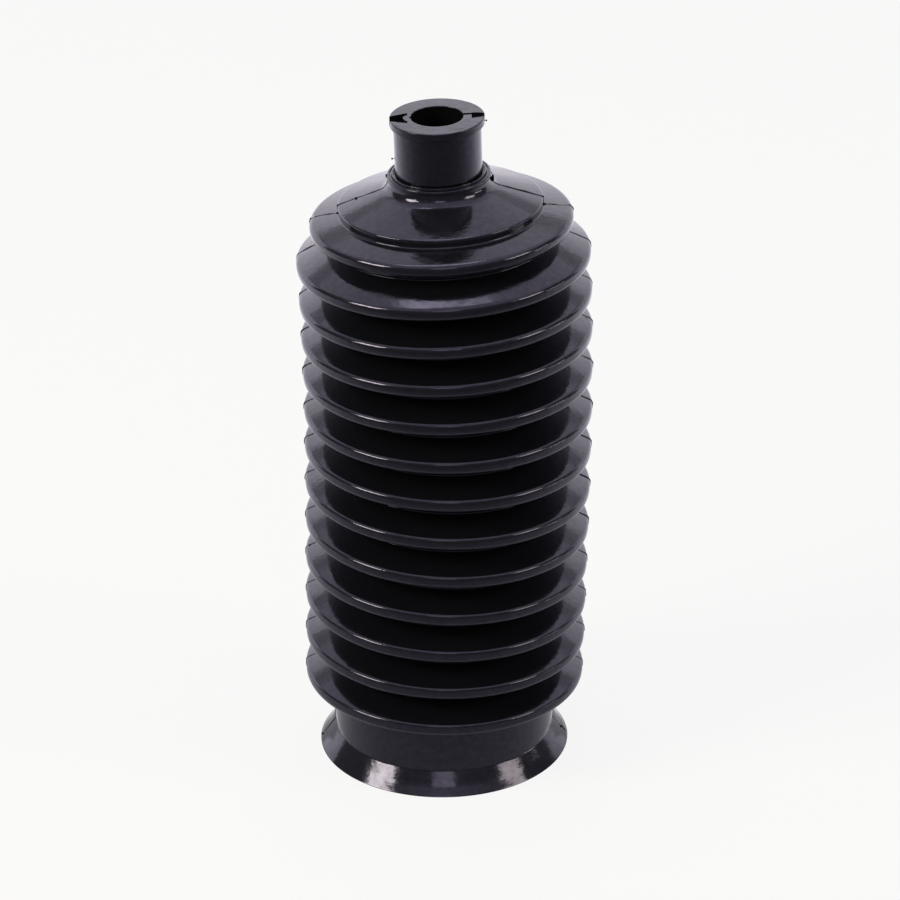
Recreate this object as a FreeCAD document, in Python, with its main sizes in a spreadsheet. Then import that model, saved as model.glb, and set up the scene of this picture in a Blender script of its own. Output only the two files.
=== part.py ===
import FreeCAD, Part
import Sketcher
import os

# Rubber bellows boot for a steering rod, moulded in one piece. Lengths are in millimetres.
# It stands on its big end: the origin is where its axis meets the base, and +Z runs up to the small end.
# Heights are stacked from the base up, so that a change to one of them moves everything above it.

SIZES = {
    # Flared foot and clamp seat of the big end
    "foot_radius": 30.0,
    "foot_height": 5.3,
    "neck_radius": 26.3,
    "neck_wall": 2.3,
    "neck_seat_height": 10.0,
    "mouth_bevel": 1.2,
    # Folds, counted from the small end down: the first is smaller and closer than the rest
    "fold_total": 13,
    "fold_pitch": 9.75,
    "last_fold_rise": 4.7,
    "second_crest_radius": 33.95,
    "crest_taper": 0.06,
    "crest_land": 1.8,
    "crest_wall": 1.75,
    "root_radius": 26.0,
    "root_wall": 3.0,
    "first_crest_radius": 30.3,
    "first_fold_pitch": 8.35,
    # Step from the first fold up to the conical shoulder
    "first_flank_rise": 3.0,
    "step_draft": 0.2,
    "step_rise": 1.6,
    "shoulder_radius": 23.4,
    "shoulder_bevel": 0.35,
    "shoulder_rise": 3.3,
    "shoulder_wall": 1.8,
    "shoulder_wall_drop": 1.25,
    # Cove under the bead, and the stepped bead at the collar's foot
    "cove_height": 2.7,
    "cove_reach": 1.9,
    "cove_middle_height": 1.05,
    "cove_middle_reach": 0.5,
    "bead_reach": 2.3,
    "bead_overhang": 0.3,
    "bead_height": 1.25,
    "step_ring_reach": 1.2,
    "step_ring_height": 0.3,
    # Collar of the small end, with a lip above its clamp seat: reaches are from the collar's face
    "rod_bore_radius": 6.0,
    "collar_wall": 4.0,
    "collar_seat_height": 9.55,
    "lip_taper_height": 1.2,
    "lip_reach": 0.65,
    "lip_height": 2.2,
    "chamber_head_rise": 0.9,
    # Two shallow notches in the top face, on the mould's parting plane, each a land away from the bore
    "notch_depth": 0.8,
    "wedge_land": 0.8,
    "wedge_inner_width": 5.4,
    "wedge_rim_width": 2.2,
    "slot_land": 1.7,
    "slot_width": 3.2,
    # How far a cut runs on past the face that it opens through
    "cut_overrun": 1.0,
}

SHEET = "Sizes"


class Length:
    """A length in millimetres, with its formula in terms of the sheet's cells."""

    def __init__(self, value, formula):
        self.value = value
        self.formula = formula

    def __add__(self, other):
        return Length(self.value + other.value, f"{self.formula} + {other.formula}")

    def __sub__(self, other):
        return Length(self.value - other.value, f"{self.formula} - ({other.formula})")

    def __mul__(self, factor):
        return Length(self.value * factor, f"({self.formula}) * {factor}")

    def __neg__(self):
        return Length(-self.value, f"-({self.formula})")


def size(name):
    return Length(SIZES[name], f"{SHEET}.{name}")


NOTHING = Length(0.0, "0")
HALF = 0.5


def add_sheet(doc):
    """Each size gets a cell of its own, whose alias is the size's name."""
    sheet = doc.addObject("Spreadsheet::Sheet", SHEET)
    for row, (name, value) in enumerate(SIZES.items(), start=1):
        sheet.set(f"A{row}", name)
        sheet.set(f"B{row}", str(value))
        sheet.setAlias(f"B{row}", name)
    doc.recompute()


def origin_plane(body, role):
    for feature in body.Origin.OriginFeatures:
        if feature.Role == role:
            return feature
    raise RuntimeError(f"the body has no {role}")


def hold(sketch, kind, corner, length):
    """Fix one corner's distance from the sketch's origin, along X or along Y, by the length's formula."""
    axis = {"DistanceX": -2, "DistanceY": -1}[kind]
    if length.formula == NOTHING.formula:
        sketch.addConstraint(Sketcher.Constraint("PointOnObject", corner, 1, axis))
    elif length.value < 0:
        held = sketch.addConstraint(Sketcher.Constraint(kind, corner, 1, -1, 1, -length.value))
        sketch.setExpression(f"Constraints[{held}]", (-length).formula)
    else:
        held = sketch.addConstraint(Sketcher.Constraint(kind, -1, 1, corner, 1, length.value))
        sketch.setExpression(f"Constraints[{held}]", length.formula)


def add_outline(body, name, role, corners):
    """A closed outline of straight lines through the corners, each a pair of lengths from the origin."""
    sketch = body.newObject("Sketcher::SketchObject", name)
    sketch.AttachmentSupport = [(origin_plane(body, role), "")]
    sketch.MapMode = "FlatFace"
    points = [FreeCAD.Vector(across.value, along.value, 0) for across, along in corners]
    ends = points[1:] + points[:1]
    sketch.addGeometry([Part.LineSegment(a, b) for a, b in zip(points, ends)], False)
    count = len(corners)
    sketch.addConstraint(
        [Sketcher.Constraint("Coincident", line, 2, (line + 1) % count, 1) for line in range(count)]
    )
    for corner, (across, along) in enumerate(corners):
        hold(sketch, "DistanceX", corner, across)
        hold(sketch, "DistanceY", corner, along)
    return sketch


# Radii of the small end, each measured out from the one before

COLLAR = size("rod_bore_radius") + size("collar_wall")
LIP = COLLAR + size("lip_reach")
STEP_RING = COLLAR + size("step_ring_reach")
BEAD = COLLAR + size("bead_reach")
COVE = BEAD - size("bead_overhang")

# Foot of the step, which leans out from the cone's edge by its draft

STEP = size("shoulder_radius") + size("step_draft")

# Heights above the base, from the big end to the small end

NECK_TOP = size("foot_height") + size("neck_seat_height")
LAST_CREST = NECK_TOP + size("last_fold_rise")


def crest_height(fold):
    """Height of a crest: the last fold's is the lowest, and the first fold has a pitch of its own."""
    if fold == 1:
        return crest_height(2) + size("first_fold_pitch")
    return LAST_CREST + size("fold_pitch") * (SIZES["fold_total"] - fold)


def crest_radius(fold):
    """Radius of a crest: the folds after the second shrink slightly towards the big end."""
    if fold == 1:
        return size("first_crest_radius")
    return size("second_crest_radius") - size("crest_taper") * (fold - 2)


def root_height(fold):
    """Height of the valley above a fold, half a pitch above its crest."""
    return crest_height(fold) + size("fold_pitch") * HALF


FIRST_CREST = crest_height(1)
STEP_FOOT = FIRST_CREST + size("first_flank_rise")
STEP_HEAD = STEP_FOOT + size("step_rise")
SHOULDER_EDGE = STEP_HEAD + size("shoulder_bevel")
SHOULDER_HEAD = SHOULDER_EDGE + size("shoulder_rise")
COVE_MIDDLE = SHOULDER_HEAD + size("cove_middle_height")
BEAD_FOOT = SHOULDER_HEAD + size("cove_height")
BEAD_TOP = BEAD_FOOT + size("bead_height")
COLLAR_FOOT = BEAD_TOP + size("step_ring_height")
LIP_TAPER_FOOT = COLLAR_FOOT + size("collar_seat_height")
LIP_FOOT = LIP_TAPER_FOOT + size("lip_taper_height")
TOP_FACE = LIP_FOOT + size("lip_height")


def small_end_corners():
    """Half section of the outside, from the axis at the top face down to the step above the first fold."""
    return [
        (NOTHING, TOP_FACE),
        (LIP, TOP_FACE),
        (LIP, LIP_FOOT),
        (COLLAR, LIP_TAPER_FOOT),
        (COLLAR, COLLAR_FOOT),
        (STEP_RING, COLLAR_FOOT),
        (STEP_RING, BEAD_TOP),
        (BEAD, BEAD_TOP),
        (BEAD, BEAD_FOOT),
        (COVE, BEAD_FOOT),
        (COVE + size("cove_middle_reach"), COVE_MIDDLE),
        (COVE + size("cove_reach"), SHOULDER_HEAD),
        (size("shoulder_radius") - size("shoulder_bevel"), SHOULDER_EDGE),
        (size("shoulder_radius"), STEP_HEAD),
        (STEP, STEP_FOOT),
    ]


def fold_corners(fold):
    """Outside of one fold: the narrow land on its crest, and the valley below it unless it is the last."""
    half_land = size("crest_land") * HALF
    corners = [
        (crest_radius(fold), crest_height(fold) + half_land),
        (crest_radius(fold), crest_height(fold) - half_land),
    ]
    if fold < SIZES["fold_total"]:
        corners.append((size("root_radius"), root_height(fold + 1)))
    return corners


def big_end_corners():
    """Outside of the big end: the neck that the clamp sits on, and the flared foot."""
    return [
        (size("neck_radius"), NECK_TOP),
        (size("neck_radius"), size("foot_height")),
        (size("foot_radius"), NOTHING),
        (NOTHING, NOTHING),
    ]


def hollow_corners():
    """Half section of the inside, from the mouth of the big end up to the rod bore and out at the top."""
    bore = size("neck_radius") - size("neck_wall")
    step = STEP - size("shoulder_wall")
    ridge = size("root_radius") - size("root_wall")
    corners = [
        (NOTHING, -size("cut_overrun")),
        (bore + size("mouth_bevel"), -size("cut_overrun")),
        (bore + size("mouth_bevel"), NOTHING),
        (bore, size("mouth_bevel")),
        (bore, NECK_TOP),
    ]
    for fold in range(SIZES["fold_total"], 0, -1):
        corners.append((crest_radius(fold) - size("crest_wall"), crest_height(fold)))
        if fold > 1:
            corners.append((ridge, root_height(fold)))
    corners += [
        (step, STEP_FOOT - size("shoulder_wall_drop")),
        (step, SHOULDER_EDGE - size("shoulder_wall_drop")),
        (size("rod_bore_radius"), SHOULDER_HEAD + size("chamber_head_rise")),
        (size("rod_bore_radius"), TOP_FACE + size("cut_overrun")),
        (NOTHING, TOP_FACE + size("cut_overrun")),
    ]
    return corners


def revolve(body, kind, name, outline):
    """Turn an outline once round the body's axis, to add it or to cut it away."""
    feature = body.newObject(kind, name)
    feature.Profile = outline
    feature.ReferenceAxis = (outline, ["V_Axis"])
    feature.Angle = 360
    outline.Visibility = False
    return feature


def cut_notch(body, name, corners):
    """A shallow notch in the top face, open at the lip's rim."""
    outline = add_outline(body, name + "_outline", "XY_Plane", corners)
    outline.setExpression("AttachmentOffset.Base.z", TOP_FACE.formula)
    notch = body.newObject("PartDesign::Pocket", name)
    notch.Profile = outline
    notch.setExpression("Length", f"{SHEET}.notch_depth")
    outline.Visibility = False
    return notch


def wedge_corners():
    """The notch on the -X side, which narrows towards the rim."""
    rim = -(LIP + size("cut_overrun"))
    inner = -(size("rod_bore_radius") + size("wedge_land"))
    half_rim = size("wedge_rim_width") * HALF
    half_inner = size("wedge_inner_width") * HALF
    return [(rim, -half_rim), (inner, -half_inner), (inner, half_inner), (rim, half_rim)]


def slot_corners():
    """The notch on the +X side, with parallel walls."""
    rim = LIP + size("cut_overrun")
    inner = size("rod_bore_radius") + size("slot_land")
    half = size("slot_width") * HALF
    return [(inner, -half), (rim, -half), (rim, half), (inner, half)]


def build_boot(doc):
    body = doc.addObject("PartDesign::Body", "bellows_boot")
    body.Label = "bellows_boot"
    body.Placement = FreeCAD.Placement()

    outside = small_end_corners()
    for fold in range(1, SIZES["fold_total"] + 1):
        outside += fold_corners(fold)
    outside += big_end_corners()
    form = revolve(body, "PartDesign::Revolution", "outer_form",
                   add_outline(body, "outer_outline", "XZ_Plane", outside))
    doc.recompute()

    hollow = revolve(body, "PartDesign::Groove", "hollow",
                     add_outline(body, "hollow_outline", "XZ_Plane", hollow_corners()))
    doc.recompute()
    wedge = cut_notch(body, "wedge_notch", wedge_corners())
    doc.recompute()
    slot = cut_notch(body, "slot_notch", slot_corners())
    doc.recompute()

    for before, after in ((form, hollow), (hollow, wedge), (wedge, slot)):
        if after.Shape.Volume >= before.Shape.Volume:
            raise RuntimeError(f"{after.Name} cuts nothing")
    return body


def check(doc, bodies):
    for item in doc.Objects:
        if "Invalid" in item.State or "Error" in item.State:
            raise RuntimeError(f"{item.Name} failed: {item.State}")
    for body in bodies:
        if body.Shape.isNull() or not body.Shape.isValid() or len(body.Shape.Solids) != 1:
            raise RuntimeError(f"{body.Label} is not one valid solid")


def main():
    doc = FreeCAD.newDocument("bellows_boot")
    add_sheet(doc)
    bodies = [build_boot(doc)]
    doc.recompute()
    check(doc, bodies)
    os.makedirs("parts", exist_ok=True)
    for body in bodies:
        body.Shape.exportStep(f"parts/{body.Label}.step")
        box = body.Shape.BoundBox
        print(body.Label, round(body.Shape.Volume), "mm3", round(box.ZMax, 3), "mm tall")


main()
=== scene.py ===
import math
import random

import bmesh
import bpy
from mathutils import Matrix, Vector


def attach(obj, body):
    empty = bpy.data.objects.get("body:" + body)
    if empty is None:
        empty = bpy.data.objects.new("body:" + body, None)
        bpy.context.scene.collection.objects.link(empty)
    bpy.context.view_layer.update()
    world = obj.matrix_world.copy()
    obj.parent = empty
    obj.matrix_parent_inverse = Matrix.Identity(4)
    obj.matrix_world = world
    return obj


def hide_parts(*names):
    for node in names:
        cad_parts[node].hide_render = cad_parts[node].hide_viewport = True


# Rubber bellows boot, moulded in one piece and standing on its big end. Its axis is Z, and the mould
# parted along the XZ plane. Lengths of the boot are in millimetres, as in the CAD, and MM turns them
# into Blender's metres. The studio's lengths are in metres.

MM = 0.001

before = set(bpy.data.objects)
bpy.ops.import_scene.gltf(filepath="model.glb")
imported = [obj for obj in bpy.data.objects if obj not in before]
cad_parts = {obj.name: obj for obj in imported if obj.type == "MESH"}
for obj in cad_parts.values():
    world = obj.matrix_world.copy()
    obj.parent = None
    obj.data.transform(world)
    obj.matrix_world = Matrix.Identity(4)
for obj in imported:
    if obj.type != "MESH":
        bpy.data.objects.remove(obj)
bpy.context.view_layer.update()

# Small end, from the top face down to the shoulder

TOP = 161.05
BORE = 6.0
LIP = 10.85
LIP_DEPTH = 1.7
LIP_TAPER = 0.3
COLLAR = 10.0
COLLAR_ROOT = 147.3
RING = 10.85
RING_TOP = 147.8
BEAD = 11.9
BEAD_TOP = 147.4
BEAD_DEPTH = 0.85
GROOVE_FLOOR = 147.2
COVE = 11.7
COVE_FOOT = 144.29
COVE_ROUNDING = 2.75
SHOULDER = 23.5
SHOULDER_EDGE = 140.39
STEP_DEPTH = 1.89

# Folds, counted from the small end. The first is smaller and stands closer to the shoulder.

FOLDS = 13
PITCH = 9.75
LAST_CREST = 20.0
FIRST_PITCH = 8.35
FIRST_CREST = LAST_CREST + PITCH * (FOLDS - 2) + FIRST_PITCH
FIRST_FOLD = 30.3
WIDEST_FOLD = 33.95
TAPER = 0.06
ROOT = 26.0
HALF_LAND = 1.2
UPPER_ROUNDING = 1.4
LOWER_ROUNDING = 1.5
ROUNDING_LOSS = 0.05
VALLEY_ROUNDING = 0.3

# How far each crest stands above its even place. The real folds aren't quite even.
SETTLED = (0.0, -0.6, -0.35, 0.0, 0.2, 0.22, 0.38, 0.35, 0.2, 0.05, 0.1, 0.0, -0.05)

# Big end

NECK = 26.3
NECK_TOP = 15.3
FLARE_TOP = 5.15
FLARE_BEND = (28.28, 2.2)
FLARE_ROUNDING = 12.0
FOOT = 30.12

# Inside

NECK_BORE = 24.0
MOUTH = 25.2
MOUTH_BEVEL = 1.2
INNER_ROOT = 23.0
INNER_ROOT_ROUNDING = 0.8
CREST_WALL = 1.75
INNER_CREST_ROUNDING = 1.0
CHAMBER = 21.8
CHAMBER_FOOT = 137.35
CHAMBER_TOP = 139.3
BORE_FOOT = 144.75


def crest(fold):
    """Radius and height of a fold's crest."""
    if fold == 1:
        return FIRST_FOLD, FIRST_CREST
    even = LAST_CREST + PITCH * (FOLDS - fold)
    return WIDEST_FOLD - TAPER * (fold - 2), even + SETTLED[fold - 1]


def root_height(fold):
    """Height of the valley above a fold."""
    return LAST_CREST + PITCH * (FOLDS - fold) + PITCH / 2


def small_end_corners():
    """Lip, collar, ring, groove, bead, cove, shoulder and step."""
    return [
        (BORE, TOP, 0.12),
        (LIP, TOP, 0.2),
        (LIP, TOP - LIP_DEPTH, 0.25),
        (COLLAR + 0.05, TOP - LIP_DEPTH - LIP_TAPER, 0.15),
        (COLLAR, COLLAR_ROOT, 0.06),
        (COLLAR + 0.3, COLLAR_ROOT - 0.05, 0.06),
        (RING - 0.5, RING_TOP, 0.14),
        (RING, RING_TOP - 0.02, 0.14),
        (RING + 0.1, GROOVE_FLOOR, 0.05),
        (BEAD - 0.65, GROOVE_FLOOR - 0.05, 0.05),
        (BEAD - 0.55, BEAD_TOP + 0.02, 0.08),
        (BEAD, BEAD_TOP - 0.02, 0.3),
        (BEAD, BEAD_TOP - BEAD_DEPTH, 0.15),
        (COVE, BEAD_TOP - BEAD_DEPTH - 0.05, 0.05),
        (COVE, COVE_FOOT, COVE_ROUNDING),
        (SHOULDER, SHOULDER_EDGE, 0.45),
        (SHOULDER - 0.02, SHOULDER_EDGE - STEP_DEPTH, 0.4),
    ]


def fold_corners():
    """Two corners on each crest and one in each valley, down the outside."""
    corners = []
    for fold in range(1, FOLDS + 1):
        radius, height = crest(fold)
        corners.append((radius, height + HALF_LAND, UPPER_ROUNDING - ROUNDING_LOSS * fold))
        corners.append((radius, height - HALF_LAND, LOWER_ROUNDING))
        if fold < FOLDS:
            corners.append((ROOT, root_height(fold + 1), VALLEY_ROUNDING))
    return corners


def big_end_corners():
    """Neck, flare, foot and mouth."""
    return [
        (NECK, NECK_TOP, 0.8),
        (NECK, FLARE_TOP, 0.3),
        (*FLARE_BEND, FLARE_ROUNDING),
        (FOOT, 0.0, 0.12),
        (MOUTH, 0.0, 0.25),
        (NECK_BORE, MOUTH_BEVEL, 0.4),
        (NECK_BORE, NECK_TOP, 0.5),
    ]


def inside_corners():
    """The folds' inside, up to the chamber under the shoulder and the bore's foot."""
    corners = []
    for fold in range(FOLDS, 0, -1):
        radius, height = crest(fold)
        corners.append((radius - CREST_WALL, height, INNER_CREST_ROUNDING))
        if fold > 1:
            corners.append((INNER_ROOT, root_height(fold), INNER_ROOT_ROUNDING))
    corners += [
        (CHAMBER, CHAMBER_FOOT, 0.3),
        (CHAMBER, CHAMBER_TOP, 0.5),
        (BORE, BORE_FOOT, 0.5),
    ]
    return corners


def outline_corners():
    """Half section as a closed loop of (radius, height, rounding): down the outside and up the inside."""
    return small_end_corners() + fold_corners() + big_end_corners() + inside_corners()


# How finely the outline is divided. Arcs go by degrees, and the hidden inside needs fewer steps.
# Straights near the boot's two ends are divided further, so that the seam can wander on them.

ARC_STEP = 17.0
INSIDE_ARC_STEP = 45.0
LONG_STRAIGHT = 1.2
HOLD = 0.25
PIECE = 2.2
LOW_END = 16.0
HIGH_END = 100.0


def arc_points(before, here, after, rounding, arc_step):
    """The arc that rounds one corner, from its side nearer the point before, in steps of arc_step degrees."""
    to_before = (before - here).normalized()
    to_after = (after - here).normalized()
    between = to_before.angle(to_after)
    turn = math.pi - between
    reach = rounding / math.tan(between / 2)
    start = here + to_before * reach
    end = here + to_after * reach
    centre = here + (to_before + to_after).normalized() * (rounding / math.sin(between / 2))
    spoke = start - centre
    sense = 1.0 if spoke.x * (end - centre).y > spoke.y * (end - centre).x else -1.0
    steps = max(2, math.ceil(math.degrees(turn) / arc_step))
    arc = []
    for step in range(steps + 1):
        swing = sense * turn * step / steps
        arc.append(centre + Vector((
            spoke.x * math.cos(swing) - spoke.y * math.sin(swing),
            spoke.x * math.sin(swing) + spoke.y * math.cos(swing),
        )))
    return arc


def straight_points(start, end, inside):
    """Points that hold a long straight near its ends, and divide it at the boot's two ends."""
    straight = end - start
    if straight.length <= LONG_STRAIGHT:
        return []
    hold = straight.normalized() * min(HOLD, straight.length / 5)
    points = [start + hold]
    near_an_end = start.y < LOW_END or start.y > HIGH_END
    hidden = inside and start.x < MOUTH and start.y < CHAMBER_FOOT
    if near_an_end and not hidden:
        pieces = max(1, round(straight.length / PIECE))
        points += [start + straight * (piece / pieces) for piece in range(1, pieces)]
    points.append(end - hold)
    return points


def rounded(corners):
    """The loop's points, with every corner turned into an arc."""
    count = len(corners)
    places = [Vector(corner[:2]) for corner in corners]
    arcs = []
    inside_from = count - len(inside_corners())
    for at, corner in enumerate(corners):
        arc_step = INSIDE_ARC_STEP if at >= inside_from else ARC_STEP
        arcs.append(arc_points(places[at - 1], places[at], places[(at + 1) % count], corner[2], arc_step))
    points = []
    for at, arc in enumerate(arcs):
        points += arc
        points += straight_points(arc[-1], arcs[(at + 1) % count][0], at > count / 2)
    return points


# Skin, with the seam that the mould left on both sides

COLUMNS = 128
SEAM_SIDES = (0.0, math.pi)
SEAM_OFFSETS = (-0.32, -0.13, 0.0, 0.13, 0.32)
SEAM_FOOT = 0.3
SEAM_TOP = 147.0
SEAM_INNER = 11.0
SEAM_HEIGHT = 0.16
SEAM_UNEVEN = 0.07
SEAM_SWING = 0.16
SWING_SEED = 3
HEIGHT_SEED = 11
SEAM_LEAN = 2.2
LEAN_FROM = 98.0
LEAN_RISE = 28.0
LEAN_INNER = 23.6
LEAN_WIDTH = 6.0
NARROWEST = 9.0


def clamped(value):
    return min(max(value, 0.0), 1.0)


def wander(seed, where, size):
    """A smooth random swing along the seam, from a few waves with fixed random phases."""
    draw = random.Random(seed)
    total = 0.0
    for wave in (1.1, 2.3, 4.1, 7.3):
        total += math.sin(where * wave + draw.uniform(0, 6.28)) / wave ** 0.4
    return total * size / 2


def seam_lean(point):
    """How far the seam runs behind the boot's middle: over the upper folds, and more towards their rims."""
    upwards = clamped((point.y - LEAN_FROM) / LEAN_RISE)
    outwards = clamped((point.x - LEAN_INNER) / LEAN_WIDTH)
    return SEAM_LEAN * upwards * outwards


def seam_columns(side, point, outside):
    """The narrow group of columns that carries the seam on one side, as (angle, lift)."""
    across = max(point.x, NARROWEST)
    swing = 0.0
    lift = 0.0
    if outside:
        seed = int(side * 10)
        swing = wander(seed + SWING_SEED, point.y * 0.9 + point.x * 0.6, SEAM_SWING)
        uneven = wander(seed + HEIGHT_SEED, point.y * 1.7 + point.x * 1.9, SEAM_UNEVEN)
        lift = SEAM_HEIGHT + uneven
    columns = []
    for offset in SEAM_OFFSETS:
        raised = max(lift, 0.0) if offset == 0.0 else 0.0
        columns.append((side + (offset + swing) / across, raised))
    return columns


def ring_columns(point, outside):
    """Angles and lifts of the columns round one ring: even ones, and a seam on each side."""
    step = 2 * math.pi / COLUMNS
    lean = seam_lean(point) / max(point.x, NARROWEST) if outside else 0.0
    columns = []
    for column in range(COLUMNS):
        angle = column * step
        side = next((s for s in SEAM_SIDES if abs(angle - s) < step / 2), None)
        if side is None:
            columns.append((angle, 0.0))
        else:
            columns += seam_columns(side, point, outside)
    return [(angle + lean * math.cos(angle), lift) for angle, lift in columns]


def linked_object(name, vertices, faces):
    """A new mesh object in the scene."""
    mesh = bpy.data.meshes.new(name)
    mesh.from_pydata(vertices, [], faces)
    made = bpy.data.objects.new(name, mesh)
    bpy.context.scene.collection.objects.link(made)
    return made


def tidy_normals(target):
    """Turn every face outwards."""
    mesh = bmesh.new()
    mesh.from_mesh(target.data)
    bmesh.ops.recalc_face_normals(mesh, faces=mesh.faces)
    mesh.to_mesh(target.data)
    mesh.free()


def lathe(name, points):
    """A closed skin of revolution. The seam's middle column stands proud of the outside."""
    count = len(points)
    foot = min(range(count), key=lambda at: (points[at].y, -points[at].x))
    vertices = []
    width = 0
    for at, point in enumerate(points):
        outside = at < foot and SEAM_FOOT < point.y < SEAM_TOP and point.x > SEAM_INNER
        along = (points[(at + 1) % count] - points[at - 1]).normalized()
        normal = Vector((-along.y, along.x))
        row = []
        for angle, lift in ring_columns(point, outside):
            radius = point.x + normal.x * lift
            height = point.y + normal.y * lift
            row.append((radius * math.cos(angle) * MM, radius * math.sin(angle) * MM, height * MM))
        width = len(row)
        vertices += row
    faces = []
    for at in range(count):
        here = at * width
        below = (at + 1) % count * width
        for column in range(width):
            beside = (column + 1) % width
            faces.append((here + column, below + column, below + beside, here + beside))
    made = linked_object(name, vertices, faces)
    made.data.validate()
    tidy_normals(made)
    return made


# Notches in the top face, as (x, y) outlines, with hair cracks that run from them to the bore

NOTCHES = {
    "wedge": ((-12.5, -1.3), (-7.9, -3.1), (-6.75, -3.5), (-6.6, -2.5), (-7.2, -1.7), (-7.7, -0.6),
              (-7.6, 0.6), (-6.75, 1.15), (-6.7, 2.4), (-7.6, 2.2), (-12.5, 0.1)),
    "slot": ((7.85, -1.7), (12.5, -0.3), (12.5, 0.7), (9.0, 1.6), (7.85, 1.55)),
    "left_crack": ((-6.35, -0.55), (-5.5, -0.6), (-5.5, 0.2), (-6.35, 0.1)),
    "right_crack": ((5.5, 0.35), (8.2, 0.5), (8.2, 1.45), (5.5, 1.4)),
}
DEPTHS = {"wedge": 1.3, "slot": 0.9, "left_crack": 0.5, "right_crack": 0.5}


def prism(name, outline, low, high):
    """A closed prism over an outline of (x, y) points, between two heights."""
    count = len(outline)
    vertices = [(x * MM, y * MM, low * MM) for x, y in outline]
    vertices += [(x * MM, y * MM, high * MM) for x, y in outline]
    faces = [tuple(range(count)), tuple(range(count, 2 * count))]
    faces += [(k, (k + 1) % count, count + (k + 1) % count, count + k) for k in range(count)]
    made = linked_object(name, vertices, faces)
    tidy_normals(made)
    return made


def cut_notches(target):
    """Cut each notch out of the top face."""
    for notch, outline in NOTCHES.items():
        cutter = prism("cut_" + notch, outline, TOP - DEPTHS[notch], TOP + 1.0)
        cut = target.modifiers.new(notch, "BOOLEAN")
        cut.operation = "DIFFERENCE"
        cut.solver = "EXACT"
        cut.object = cutter
        depsgraph = bpy.context.evaluated_depsgraph_get()
        shaped = bpy.data.meshes.new_from_object(target.evaluated_get(depsgraph))
        target.modifiers.clear()
        target.data = shaped
        bpy.data.objects.remove(cutter)


# Small stubs left on the seam by the mould, as (x, height, half width, half depth, half height)
NIBS = (
    (-19.25, 142.0, 0.3, 0.3, 0.2),
    (-23.45, 140.35, 0.3, 0.32, 0.25),
    (-23.75, 138.5, 0.26, 0.3, 0.22),
    (-10.3, 151.1, 0.35, 0.06, 0.05),
    (-10.5, 151.1, 0.23, 0.23, 0.23),
    (11.0, 159.7, 0.32, 0.06, 0.05),
    (11.12, 159.65, 0.23, 0.23, 0.23),
    (12.25, 145.5, 0.32, 0.26, 0.95),
    (-12.0, 147.0, 0.2, 0.3, 0.5),
    (23.45, 140.3, 0.26, 0.3, 0.25),
    (23.9, 138.5, 0.26, 0.3, 0.2),
    (-29.7, 0.6, 0.3, 0.3, 0.3),
    (28.7, 2.0, 0.25, 0.3, 0.22),
    (32.3, 109.55, 0.25, 0.3, 0.2),
    (32.0, 100.1, 0.28, 0.3, 0.2),
    (33.1, 80.2, 0.25, 0.35, 0.2),
    (-32.6, 70.6, 0.6, 0.3, 0.3),
    (-32.0, 61.0, 0.4, 0.3, 0.2),
    (-32.4, 51.0, 0.5, 0.25, 0.2),
)


def add_nibs(target):
    """Put the stubs on the skin."""
    mesh = bmesh.new()
    mesh.from_mesh(target.data)
    for x, height, wide, deep, tall in NIBS:
        place = Matrix.Translation((x * MM, 0.0, height * MM))
        shape = Matrix.Diagonal((wide * MM, deep * MM, tall * MM, 1.0))
        bmesh.ops.create_icosphere(mesh, subdivisions=2, radius=1.0, matrix=place @ shape)
    mesh.to_mesh(target.data)
    mesh.free()


# The boot stands a little bowed: at each height, how far its axis lies to the right and how far
# its folds are rolled, in degrees, with the right side lower.
STANCE = (
    (0.0, 0.0, 0.0),
    (15.0, 0.15, 0.5),
    (20.0, 0.25, 1.0),
    (29.75, 0.55, 1.7),
    (39.5, 0.8, 2.1),
    (49.25, 1.02, 2.35),
    (59.0, 1.28, 2.4),
    (68.75, 1.5, 2.1),
    (78.5, 1.67, 1.4),
    (88.25, 1.82, 0.4),
    (98.0, 1.82, -0.6),
    (107.75, 1.7, -1.7),
    (117.5, 1.5, -2.4),
    (127.25, 1.12, -2.4),
    (135.6, 0.75, -2.2),
    (146.0, 0.32, -1.8),
    (161.05, 0.0, -1.4),
)

# The collar nods to the front, from NOD_START up, by NOD degrees about NOD_PIVOT.
NOD = 1.2
NOD_START = 145.0
NOD_SPAN = 4.0
NOD_PIVOT = 150.0


def stance(height):
    """Sideways offset and roll at a height."""
    for (low, offset, roll), (high, next_offset, next_roll) in zip(STANCE, STANCE[1:]):
        if height <= high:
            share = max(height - low, 0.0) / (high - low)
            return offset + (next_offset - offset) * share, roll + (next_roll - roll) * share
    return STANCE[-1][1:]


def bow(target):
    """Shift and roll every level by the table, and nod the collar."""
    for vertex in target.data.vertices:
        x, y, z = vertex.co
        height = z / MM
        offset, roll = stance(height)
        roll = math.radians(roll)
        nod = math.radians(NOD) * clamped((height - NOD_START) / NOD_SPAN)
        vertex.co.x = x * math.cos(roll) + offset * MM
        vertex.co.y = y - (height - NOD_PIVOT) * MM * math.sin(nod)
        vertex.co.z = z - x * math.sin(roll) + y * math.sin(nod)


SHARP_EDGE = 50.0

boot = lathe("boot_skin", rounded(outline_corners()))
cut_notches(boot)
add_nibs(boot)
bow(boot)
boot.data.shade_smooth()
boot.data.set_sharp_from_angle(angle=math.radians(SHARP_EDGE))

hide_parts("bellows_boot")
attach(boot, "root")


# Node helpers

def blank_material(name):
    """A material with an output and nothing else, as (material, tree, output)."""
    material = bpy.data.materials.new(name)
    material.use_nodes = True
    tree = material.node_tree
    tree.nodes.clear()
    return material, tree, tree.nodes.new("ShaderNodeOutputMaterial")


def plug(tree, socket, value):
    """Link a socket to another one, or set it to a plain value."""
    if isinstance(value, bpy.types.NodeSocket):
        tree.links.new(value, socket)
    else:
        socket.default_value = value


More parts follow.
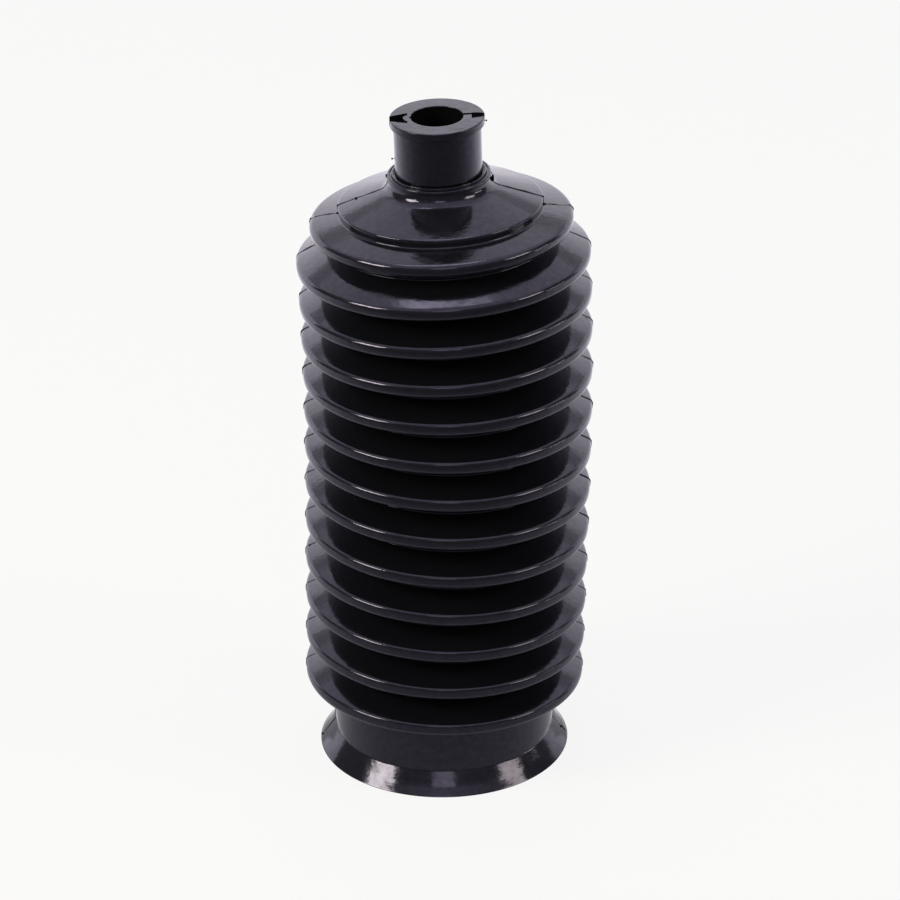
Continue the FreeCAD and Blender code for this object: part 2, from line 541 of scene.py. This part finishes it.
def math_node(tree, operation, first, second=0.0, third=0.0):
    """One step of arithmetic on sockets or plain values."""
    made = tree.nodes.new("ShaderNodeMath")
    made.operation = operation
    for socket, value in zip(made.inputs, (first, second, third)):
        plug(tree, socket, value)
    return made.outputs["Value"]


def spread(tree, value, low, high, bottom=0.0, top=1.0):
    """Map a value from low..high to bottom..top, held at both ends."""
    made = tree.nodes.new("ShaderNodeMapRange")
    made.inputs["From Min"].default_value = low
    made.inputs["From Max"].default_value = high
    made.inputs["To Min"].default_value = bottom
    made.inputs["To Max"].default_value = top
    tree.links.new(value, made.inputs["Value"])
    return made.outputs["Result"]


def object_place(tree):
    """The surface's place in the object's own coordinates, in metres."""
    return tree.nodes.new("ShaderNodeTexCoord").outputs["Object"]


def split_place(tree):
    """The same place as separate X, Y and Z sockets."""
    split = tree.nodes.new("ShaderNodeSeparateXYZ")
    tree.links.new(object_place(tree), split.inputs["Vector"])
    return split.outputs


def emission(tree, colour, strength):
    """A glowing shader."""
    glow = tree.nodes.new("ShaderNodeEmission")
    glow.inputs["Color"].default_value = (*colour, 1.0)
    plug(tree, glow.inputs["Strength"], strength)
    return glow.outputs["Emission"]


# Rubber: near black and glossy, with a thin uneven bloom and the faint unevenness of a moulded skin

RUBBER_COLOUR = (0.0042, 0.0046, 0.0056, 1.0)
GLOSS_TINT = (0.8, 0.755, 1.0, 1.0)
RUBBER_IOR = 1.5
ROUGHNESS = (0.08, 0.16)
GLOSS_LEVEL = (0.4, 0.62)
BROAD_WAVES = 0.06
FINE_GRAIN = 0.03

# Noises as (features to the metre, detail, roughness)
CLOUD = (90.0, 3.0, 0.6)
BLOOM = (700.0, 4.0, 0.65)
WAVES = (55.0, 2.0, 0.5)
GRAIN = (600.0, 3.0, 0.55)
GRAIN_STRETCH = (1.0, 1.0, 1.6)
NOISE_LOW = 0.3
NOISE_HIGH = 0.7


def noise(tree, place, scale, detail, rough, stretch=(1.0, 1.0, 1.0)):
    """Cloudy noise, with scale in features to the metre."""
    fit = tree.nodes.new("ShaderNodeMapping")
    fit.inputs["Scale"].default_value = stretch
    tree.links.new(place, fit.inputs["Vector"])
    made = tree.nodes.new("ShaderNodeTexNoise")
    made.inputs["Scale"].default_value = scale
    made.inputs["Detail"].default_value = detail
    made.inputs["Roughness"].default_value = rough
    tree.links.new(fit.outputs["Vector"], made.inputs["Vector"])
    return made.outputs["Fac"]


def bump(tree, height, depth, under=None):
    """A bump of the given depth in millimetres, laid over another one if there is one."""
    made = tree.nodes.new("ShaderNodeBump")
    made.inputs["Strength"].default_value = 1.0
    made.inputs["Distance"].default_value = depth * MM
    tree.links.new(height, made.inputs["Height"])
    if under is not None:
        tree.links.new(under, made.inputs["Normal"])
    return made.outputs["Normal"]


def rubber_material():
    material, tree, out = blank_material("moulded_rubber")
    skin = tree.nodes.new("ShaderNodeBsdfPrincipled")
    tree.links.new(skin.outputs["BSDF"], out.inputs["Surface"])
    skin.inputs["Base Color"].default_value = RUBBER_COLOUR
    skin.inputs["Specular Tint"].default_value = GLOSS_TINT
    skin.inputs["IOR"].default_value = RUBBER_IOR

    place = object_place(tree)
    cloud = noise(tree, place, *CLOUD)
    bloom = noise(tree, place, *BLOOM)
    broad = noise(tree, place, *WAVES)
    fine = noise(tree, place, *GRAIN, GRAIN_STRETCH)
    roughness = spread(tree, cloud, NOISE_LOW, NOISE_HIGH, *ROUGHNESS)
    gloss_level = spread(tree, bloom, NOISE_LOW, NOISE_HIGH, *GLOSS_LEVEL)
    waves = bump(tree, broad, BROAD_WAVES)
    tree.links.new(roughness, skin.inputs["Roughness"])
    tree.links.new(gloss_level, skin.inputs["Specular IOR Level"])
    tree.links.new(bump(tree, fine, FINE_GRAIN, waves), skin.inputs["Normal"])
    return material


boot.data.materials.append(rubber_material())


# Studio: a pale floor, soft lamps, and cards that only the boot's gloss sees

WARM = (1.0, 0.95, 0.78)
NEUTRAL = (1.0, 0.97, 1.0)
CEILING = (0.93, 0.9, 1.0)
BACKDROP = (0.94, 0.91, 1.0)
COOL = (0.95, 0.92, 1.0)
WHITE = (1.0, 1.0, 1.0)

FLOOR_GREY = 0.8
FLOOR_WHITE_SHARE = 0.87
FLOOR_REACH = 6.0


def seen_by_eye_or_gloss(tree):
    """1 for camera, glossy and transmission rays, 0 for the rest."""
    path = tree.nodes.new("ShaderNodeLightPath").outputs
    eye_or_gloss = math_node(tree, "MAXIMUM", path["Is Camera Ray"], path["Is Glossy Ray"])
    return math_node(tree, "MAXIMUM", eye_or_gloss, path["Is Transmission Ray"])


def floor_material():
    """Mostly plain white to the eye, so that the background is pale, and matt enough to hold a shadow."""
    material, tree, out = blank_material("pale_floor")
    matt = tree.nodes.new("ShaderNodeBsdfDiffuse")
    matt.inputs["Color"].default_value = (FLOOR_GREY, FLOOR_GREY, FLOOR_GREY, 1.0)
    mix = tree.nodes.new("ShaderNodeMixShader")
    share = math_node(tree, "MULTIPLY", seen_by_eye_or_gloss(tree), FLOOR_WHITE_SHARE)
    tree.links.new(share, mix.inputs["Fac"])
    tree.links.new(matt.outputs["BSDF"], mix.inputs[1])
    tree.links.new(emission(tree, WHITE, 1.0), mix.inputs[2])
    tree.links.new(mix.outputs["Shader"], out.inputs["Surface"])
    return material


def staged(name, vertices, faces, material):
    """A mesh that belongs to the studio and not to the boot."""
    made = linked_object(name, vertices, faces)
    made.data.materials.append(material)
    return made


def add_floor():
    reach = FLOOR_REACH
    corners = [(-reach, -reach, 0), (reach, -reach, 0), (reach, reach, 0), (-reach, reach, 0)]
    staged("floor", corners, [(0, 1, 2, 3)], floor_material())


add_floor()

AIM = Vector((0.0, 0.0, 0.08))

# Each lamp as (name, azimuth, elevation, distance, width, height, radiance, colour). Width and height
# are the angles that it covers as the boot sees it, in degrees.
LAMPS = (
    ("softbox_left", 66, 30.5, 1.6, 23, 15.5, 14.0, WARM),
    ("softbox_right", -70, 28.5, 1.6, 20, 15, 6.0, WARM),
    ("softbox_top", 166, 75, 1.6, 26.6, 15, 2.7, COOL),
    ("softbox_front", 1, 36.5, 1.8, 18, 13, 1.5, NEUTRAL),
    ("strip_right", -91, 9.5, 1.6, 18, 3, 9.0, WARM),
)


def direction(azimuth, elevation):
    """Azimuth is measured from the camera's side, positive to its left as the camera sees it."""
    a = math.radians(azimuth)
    e = math.radians(elevation)
    return Vector((-math.sin(a) * math.cos(e), -math.cos(a) * math.cos(e), math.sin(e)))


def softbox(name, azimuth, elevation, distance, wide, high, radiance, colour):
    """A rectangular lamp that faces the boot."""
    lamp = bpy.data.lights.new(name, "AREA")
    lamp.shape = "RECTANGLE"
    lamp.size = 2 * distance * math.tan(math.radians(wide / 2))
    lamp.size_y = 2 * distance * math.tan(math.radians(high / 2))
    lamp.energy = radiance * 4 * lamp.size * lamp.size_y
    lamp.color = colour
    made = bpy.data.objects.new(name, lamp)
    bpy.context.scene.collection.objects.link(made)
    out = direction(azimuth, elevation)
    made.location = AIM + out * distance
    made.rotation_euler = out.to_track_quat("Z", "Y").to_euler()
    made.visible_camera = False


for lamp_row in LAMPS:
    softbox(*lamp_row)


def ramped(tree, value, stops):
    """A piecewise straight curve through (value, result) stops."""
    low = stops[0][0]
    high = stops[-1][0]
    curve = tree.nodes.new("ShaderNodeValToRGB")
    tree.links.new(spread(tree, value, low, high), curve.inputs["Fac"])
    points = curve.color_ramp.elements
    while len(points) < len(stops):
        points.new(0.5)
    for point, (place, result) in zip(points, stops):
        point.position = (place - low) / (high - low)
        point.color = (result, result, result, 1.0)
    return curve.outputs["Color"]


def even_glow(name, colour, strength):
    material, tree, out = blank_material(name)
    tree.links.new(emission(tree, colour, strength), out.inputs["Surface"])
    return material


def ramped_glow(name, colour, axis, stops):
    """A glow whose strength follows one coordinate of the studio."""
    material, tree, out = blank_material(name)
    strength = ramped(tree, split_place(tree)[axis], stops)
    tree.links.new(emission(tree, colour, strength), out.inputs["Surface"])
    return material


# The floor card's glow carries painted shade: it is dimmed towards the front, where the floor gets less
# light, and bright behind and to the sides.
FLOOR_CARD_DIM = 0.2
FLOOR_CARD_BRIGHT = 1.4
FLOOR_CARD_SIDES = 0.25
FLOOR_CARD_FRONT = -0.34
FLOOR_CARD_BACK = 0.26


def floor_card_glow():
    """The floor as the boot's gloss sees it, with painted shade: dim before the boot, where less light falls
    on the floor, and white behind it and to its sides.
    """
    material, tree, out = blank_material("floor_card")
    place = split_place(tree)
    side = math_node(tree, "ABSOLUTE", place["X"])
    behind = math_node(tree, "MULTIPLY_ADD", side, FLOOR_CARD_SIDES, place["Y"])
    share = math_node(tree, "POWER", spread(tree, behind, FLOOR_CARD_FRONT, FLOOR_CARD_BACK), 2.0)
    strength = spread(tree, share, 0.0, 1.0, FLOOR_CARD_DIM, FLOOR_CARD_BRIGHT)
    tree.links.new(emission(tree, CEILING, strength), out.inputs["Surface"])
    return material


def card(name, vertices, faces, material):
    """A part of the studio that only the boot's gloss sees."""
    made = staged(name, vertices, faces, material)
    made.visible_camera = False
    made.visible_diffuse = False
    made.visible_shadow = False
    made.visible_transmission = False
    made.visible_volume_scatter = False


STUDIO_REACH = 3.2
DOME_ROWS = 12
DOME_COLUMNS = 48


def dome_card(name, low, high, from_azimuth, to_azimuth, material):
    """Part of a sphere round the boot, between two elevations and two azimuths."""
    vertices = []
    for row in range(DOME_ROWS + 1):
        elevation = low + (high - low) * row / DOME_ROWS
        for column in range(DOME_COLUMNS + 1):
            azimuth = from_azimuth + (to_azimuth - from_azimuth) * column / DOME_COLUMNS
            vertices.append(direction(azimuth, elevation) * STUDIO_REACH)
    width = DOME_COLUMNS + 1
    faces = []
    for row in range(DOME_ROWS):
        for column in range(DOME_COLUMNS):
            a = row * width + column
            faces.append((a, a + 1, a + width + 1, a + width))
    card(name, vertices, faces, material)


RING_COLUMNS = 96


def ring_card(name, inner, outer, height, material):
    """A flat ring round the boot."""
    vertices = []
    for radius in (inner, outer):
        for column in range(RING_COLUMNS):
            angle = 2 * math.pi * column / RING_COLUMNS
            vertices.append((radius * math.cos(angle), radius * math.sin(angle), height))
    faces = []
    for column in range(RING_COLUMNS):
        beside = (column + 1) % RING_COLUMNS
        faces.append((column, beside, RING_COLUMNS + beside, RING_COLUMNS + column))
    card(name, vertices, faces, material)


# The room before the boot is dim up to its ceiling. Behind the boot stands a lit backdrop, with a
# darker band over it and the far ceiling above that. Stops are heights or places in metres.

ROOM_EDGE = 118
ROOM_TOP = 52.0
ROOM_STOPS = ((0.0, 0.25), (1.6, 0.27), (2.1, 0.45), (2.5, 1.1))
ZENITH = 89.5
BACKDROP_TOP = 28.0
BAND_TOP = 36.0
BACKDROP_STOPS = ((-STUDIO_REACH, 1.95), (STUDIO_REACH, 1.35))
CEILING_GLOW = 1.15
FAR_CEILING_GLOW = 1.25
BAND_GLOW = 0.8
FLOOR_CARD_HOLE = 0.0312
FLOOR_CARD_HEIGHT = 0.0004


def add_cards():
    front = (-ROOM_EDGE, ROOM_EDGE)
    back = (ROOM_EDGE, 360 - ROOM_EDGE)
    dome_card("room_card", 0.0, ROOM_TOP, *front, ramped_glow("studio_room", CEILING, "Z", ROOM_STOPS))
    dome_card("ceiling_card", ROOM_TOP, ZENITH, *front, even_glow("studio_ceiling", CEILING, CEILING_GLOW))
    far = even_glow("far_ceiling", CEILING, FAR_CEILING_GLOW)
    dome_card("far_ceiling_card", BAND_TOP, ZENITH, *back, far)
    dome_card("shade_card", BACKDROP_TOP, BAND_TOP, *back, even_glow("far_shade", CEILING, BAND_GLOW))
    lit = ramped_glow("lit_backdrop", BACKDROP, "X", BACKDROP_STOPS)
    dome_card("back_card", 0.0, BACKDROP_TOP, *back, lit)
    ring_card("floor_card", FLOOR_CARD_HOLE, STUDIO_REACH, FLOOR_CARD_HEIGHT, floor_card_glow())


add_cards()

WORLD_LIGHT = 0.35
WORLD_WHITE = 1.0


def add_world():
    """White to the eye and to gloss, and a weak even light to all else."""
    world = bpy.data.worlds.new("studio")
    bpy.context.scene.world = world
    world.use_nodes = True
    tree = world.node_tree
    tree.nodes.clear()
    out = tree.nodes.new("ShaderNodeOutputWorld")
    sky = tree.nodes.new("ShaderNodeBackground")
    strength = spread(tree, seen_by_eye_or_gloss(tree), 0.0, 1.0, WORLD_LIGHT, WORLD_WHITE)
    tree.links.new(strength, sky.inputs["Strength"])
    tree.links.new(sky.outputs["Background"], out.inputs["Surface"])


add_world()

# Camera. AXIS_COLUMN is the column of the picture, in pixels, that the boot's axis falls on.

CAMERA_REACH = 0.941
CAMERA_TILT = 26.0
CAMERA_AIM = 0.077
CAMERA_ROLL = -0.62
AXIS_COLUMN = 440.9
PICTURE = 900
LENS = 160.0
SENSOR = 36.0


def add_camera():
    data = bpy.data.cameras.new("camera")
    data.lens = LENS
    data.sensor_width = SENSOR
    camera = bpy.data.objects.new("camera", data)
    bpy.context.scene.collection.objects.link(camera)
    tilt = math.radians(CAMERA_TILT)
    aside = (PICTURE / 2 - AXIS_COLUMN) * CAMERA_REACH / (PICTURE * LENS / SENSOR)
    back = -CAMERA_REACH * math.cos(tilt)
    up = CAMERA_AIM + CAMERA_REACH * math.sin(tilt)
    camera.location = (aside, back, up)
    look = Matrix.Rotation(math.pi / 2 - tilt, 3, "X")
    roll = Matrix.Rotation(math.radians(CAMERA_ROLL), 3, "Z")
    camera.rotation_euler = (look @ roll).to_euler()
    bpy.context.scene.camera = camera


add_camera()
bpy.context.scene.view_settings.view_transform = "Standard"

bpy.context.view_layer.update()
